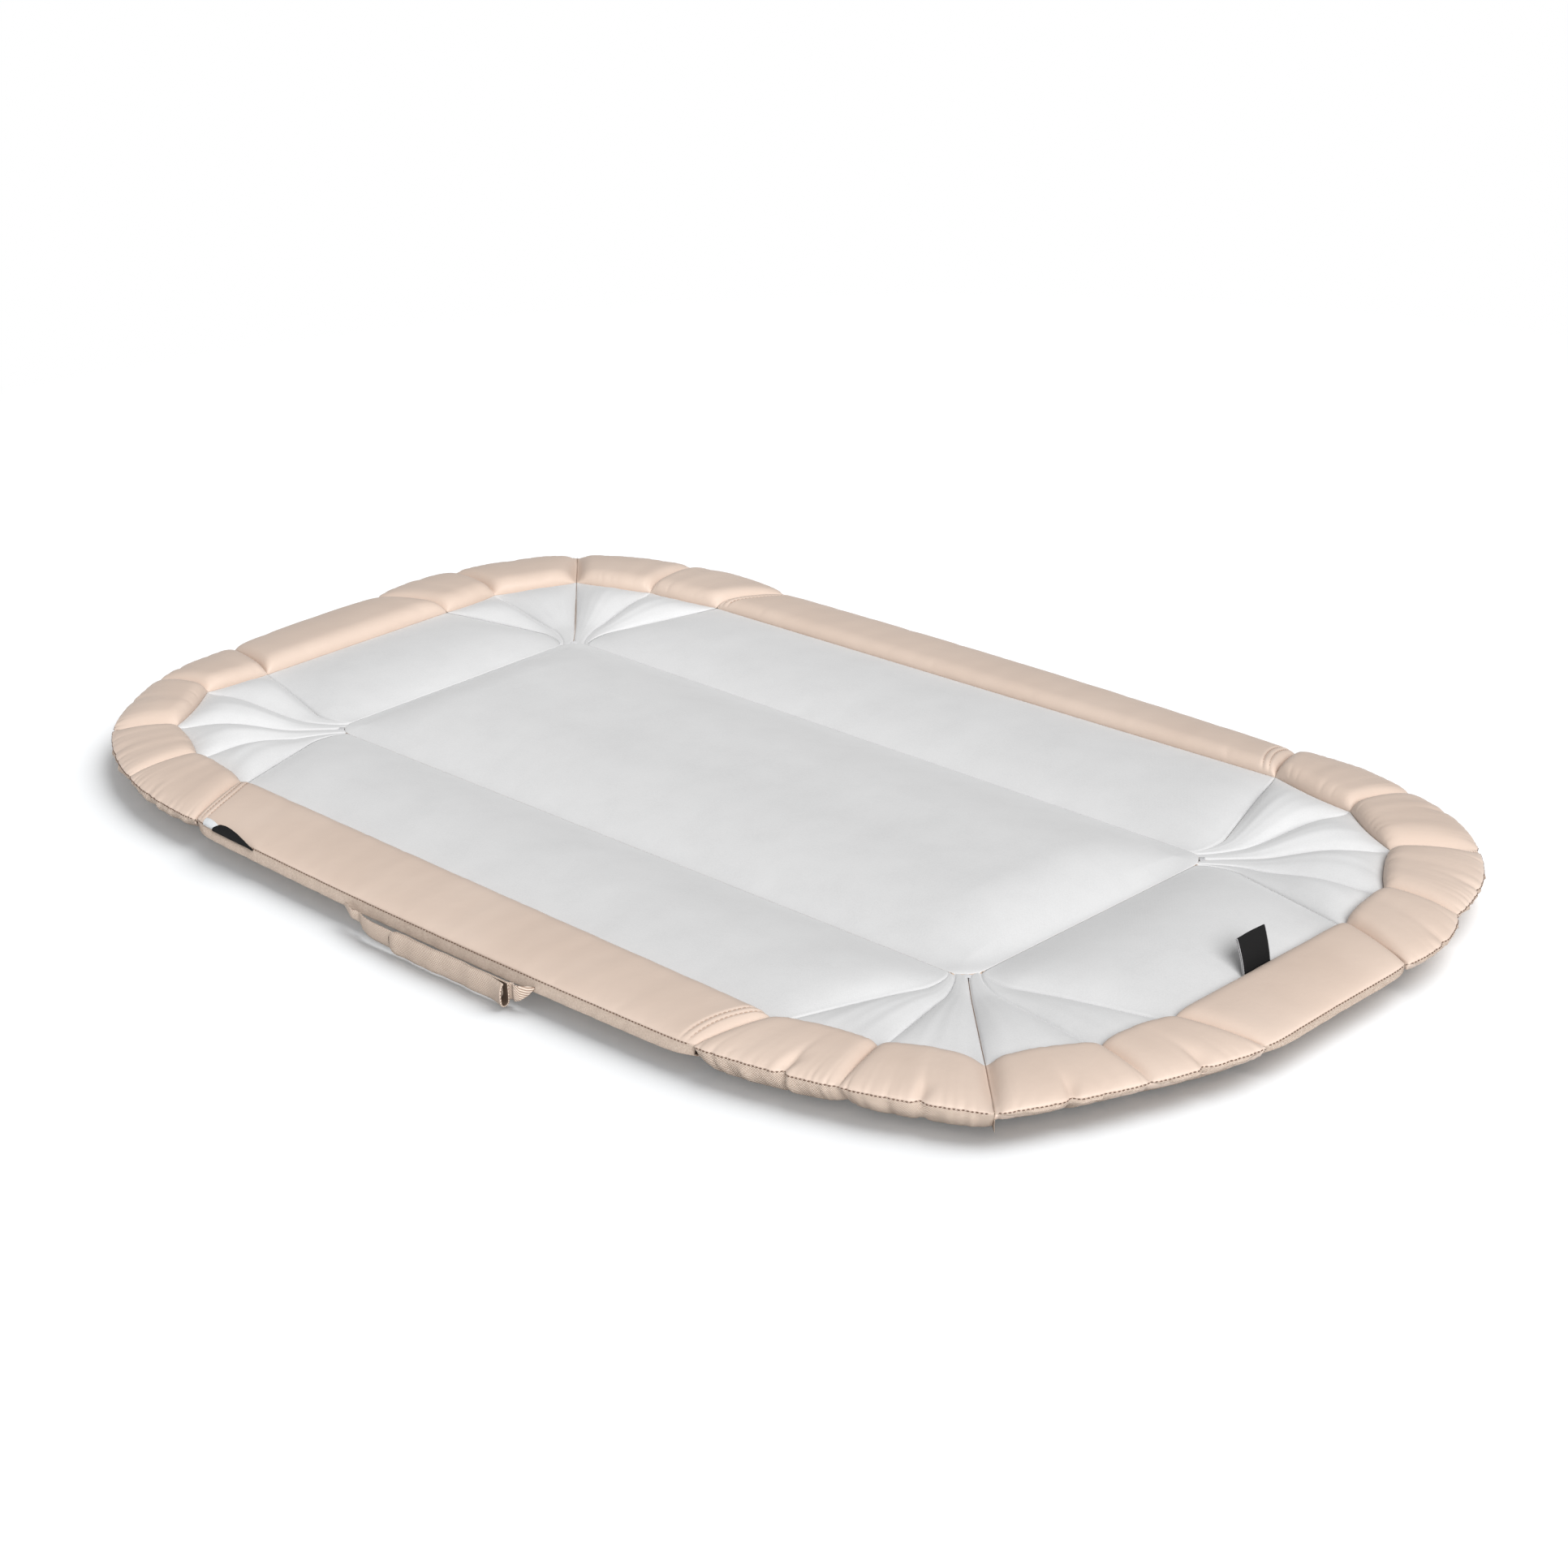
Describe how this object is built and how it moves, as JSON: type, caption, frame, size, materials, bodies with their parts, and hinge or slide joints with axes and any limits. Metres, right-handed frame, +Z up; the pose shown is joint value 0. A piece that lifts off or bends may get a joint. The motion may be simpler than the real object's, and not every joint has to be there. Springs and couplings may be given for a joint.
{
  "type": "infant lounger",
  "caption": "Soft padded infant lounger lying open flat: white quilted pad, four folding side walls with a beige rim, pleated corners, twill base and two carry handles.",
  "frame": {"origin": "middle of the flat base on the floor, below the middle of the pad", "axes": "+X along the length towards the foot end with the woven tab, +Y towards the far long side, +Z up"},
  "size_m": [0.9894, 0.5892, 0.0455],
  "materials": {
    "jersey": "fine white cotton jersey with small flecks, quilted",
    "rim_cloth": "smooth beige coated cloth",
    "twill": "beige and brown twill with fine diagonal ribs",
    "foam": "soft open foam",
    "wadding": "polyester wadding",
    "thread": "white sewing thread",
    "black_weave": "black woven label tape",
    "pale_weave": "pale woven label tape"
  },
  "bodies": {
    "base": {"centre_top_panel": "jersey", "centre_foam_core": "foam", "centre_base_cover": "twill", "corner_tack_foot_far": "thread", "corner_tack_head_far": "thread", "corner_tack_head_near": "thread", "corner_tack_foot_near": "thread"},
    "long_wall_near": {"long_wall_near_top_panel": "jersey", "long_wall_near_foam_core": "foam", "long_wall_near_border": "rim_cloth", "long_wall_near_outer_cover": "twill", "side_label": "black_weave", "care_label": "pale_weave"},
    "handle_near": {"long_wall_near_handle": "twill"},
    "long_wall_far": {"long_wall_far_top_panel": "jersey", "long_wall_far_foam_core": "foam", "long_wall_far_border": "rim_cloth", "long_wall_far_outer_cover": "twill"},
    "handle_far": {"long_wall_far_handle": "twill"},
    "end_wall_foot": {"end_wall_foot_top_panel": "jersey", "end_wall_foot_foam_core": "foam", "end_wall_foot_border": "rim_cloth", "end_wall_foot_outer_cover": "twill", "foot_tab": "black_weave"},
    "end_wall_head": {"end_wall_head_top_panel": "jersey", "end_wall_head_foam_core": "foam", "end_wall_head_border": "rim_cloth", "end_wall_head_outer_cover": "twill"},
    "corner_foot_far_long": {"corner_foot_far_long_gusset": "jersey", "corner_foot_far_long_border": "rim_cloth", "corner_foot_far_long_core": "wadding", "corner_foot_far_long_cover": "twill"},
    "corner_foot_far_end": {"corner_foot_far_end_gusset": "jersey", "corner_foot_far_end_border": "rim_cloth", "corner_foot_far_end_core": "wadding", "corner_foot_far_end_cover": "twill"},
    "corner_head_far_long": {"corner_head_far_long_gusset": "jersey", "corner_head_far_long_border": "rim_cloth", "corner_head_far_long_core": "wadding", "corner_head_far_long_cover": "twill"},
    "corner_head_far_end": {"corner_head_far_end_gusset": "jersey", "corner_head_far_end_border": "rim_cloth", "corner_head_far_end_core": "wadding", "corner_head_far_end_cover": "twill"},
    "corner_head_near_long": {"corner_head_near_long_gusset": "jersey", "corner_head_near_long_border": "rim_cloth", "corner_head_near_long_core": "wadding", "corner_head_near_long_cover": "twill"},
    "corner_head_near_end": {"corner_head_near_end_gusset": "jersey", "corner_head_near_end_border": "rim_cloth", "corner_head_near_end_core": "wadding", "corner_head_near_end_cover": "twill"},
    "corner_foot_near_long": {"corner_foot_near_long_gusset": "jersey", "corner_foot_near_long_border": "rim_cloth", "corner_foot_near_long_core": "wadding", "corner_foot_near_long_cover": "twill"},
    "corner_foot_near_end": {"corner_foot_near_end_gusset": "jersey", "corner_foot_near_end_border": "rim_cloth", "corner_foot_near_end_core": "wadding", "corner_foot_near_end_cover": "twill"}
  },
  "joints": [
    {"name": "long_wall_near_fold", "type": "hinge", "parent": "base", "child": "long_wall_near", "pos_m": [0, -0.112, 0.017], "axis": [-1, 0, 0], "range_deg": [0, 50]},
    {"name": "long_wall_far_fold", "type": "hinge", "parent": "base", "child": "long_wall_far", "pos_m": [0, 0.112, 0.017], "axis": [1, 0, 0], "range_deg": [0, 50]},
    {"name": "end_wall_foot_fold", "type": "hinge", "parent": "base", "child": "end_wall_foot", "pos_m": [0.302, 0, 0.017], "axis": [0, -1, 0], "range_deg": [0, 50]},
    {"name": "end_wall_head_fold", "type": "hinge", "parent": "base", "child": "end_wall_head", "pos_m": [-0.302, 0, 0.017], "axis": [0, 1, 0], "range_deg": [0, 50]},
    {"name": "corner_foot_far_long_fold", "type": "hinge", "parent": "long_wall_far", "child": "corner_foot_far_long", "pos_m": [0.302, 0.112, 0.017], "axis": [-0.3337, 0.9423, 0.026], "range_deg": [0, 16.25]},
    {"name": "corner_foot_far_end_fold", "type": "hinge", "parent": "end_wall_foot", "child": "corner_foot_far_end", "pos_m": [0.302, 0.112, 0.017], "axis": [-0.972, 0.2334, -0.026], "range_deg": [0, 23.5]},
    {"name": "corner_head_far_long_fold", "type": "hinge", "parent": "long_wall_far", "child": "corner_head_far_long", "pos_m": [-0.302, 0.112, 0.017], "axis": [-0.3337, -0.9423, -0.026], "range_deg": [0, 16.25]},
    {"name": "corner_head_far_end_fold", "type": "hinge", "parent": "end_wall_head", "child": "corner_head_far_end", "pos_m": [-0.302, 0.112, 0.017], "axis": [-0.972, -0.2334, 0.026], "range_deg": [0, 23.5]},
    {"name": "corner_head_near_long_fold", "type": "hinge", "parent": "long_wall_near", "child": "corner_head_near_long", "pos_m": [-0.302, -0.112, 0.017], "axis": [0.3337, -0.9423, 0.026], "range_deg": [0, 16.25]},
    {"name": "corner_head_near_end_fold", "type": "hinge", "parent": "end_wall_head", "child": "corner_head_near_end", "pos_m": [-0.302, -0.112, 0.017], "axis": [0.972, -0.2334, -0.026], "range_deg": [0, 23.5]},
    {"name": "corner_foot_near_long_fold", "type": "hinge", "parent": "long_wall_near", "child": "corner_foot_near_long", "pos_m": [0.302, -0.112, 0.017], "axis": [0.3337, 0.9423, -0.026], "range_deg": [0, 16.25]},
    {"name": "corner_foot_near_end_fold", "type": "hinge", "parent": "end_wall_foot", "child": "corner_foot_near_end", "pos_m": [0.302, -0.112, 0.017], "axis": [0.972, 0.2334, 0.026], "range_deg": [0, 23.5]},
    {"name": "handle_near_swing", "type": "hinge", "parent": "long_wall_near", "child": "handle_near", "pos_m": [0.015, -0.28412, 0.015], "axis": [-1, 0, 0], "range_deg": [0, 90]},
    {"name": "handle_far_swing", "type": "hinge", "parent": "long_wall_far", "child": "handle_far", "pos_m": [0.015, 0.28412, 0.015], "axis": [1, 0, 0], "range_deg": [0, 90]}
  ],
  "couplings": [
    {"joint": "long_wall_far_fold", "follows": "long_wall_near_fold", "ratio": 1},
    {"joint": "end_wall_foot_fold", "follows": "long_wall_near_fold", "ratio": 1},
    {"joint": "end_wall_head_fold", "follows": "long_wall_near_fold", "ratio": 1},
    {"joint": "corner_foot_far_long_fold", "follows": "long_wall_near_fold", "ratio": 0.325},
    {"joint": "corner_foot_far_end_fold", "follows": "long_wall_near_fold", "ratio": 0.47},
    {"joint": "corner_head_far_long_fold", "follows": "long_wall_near_fold", "ratio": 0.325},
    {"joint": "corner_head_far_end_fold", "follows": "long_wall_near_fold", "ratio": 0.47},
    {"joint": "corner_head_near_long_fold", "follows": "long_wall_near_fold", "ratio": 0.325},
    {"joint": "corner_head_near_end_fold", "follows": "long_wall_near_fold", "ratio": 0.47},
    {"joint": "corner_foot_near_long_fold", "follows": "long_wall_near_fold", "ratio": 0.325},
    {"joint": "corner_foot_near_end_fold", "follows": "long_wall_near_fold", "ratio": 0.47}
  ]
}
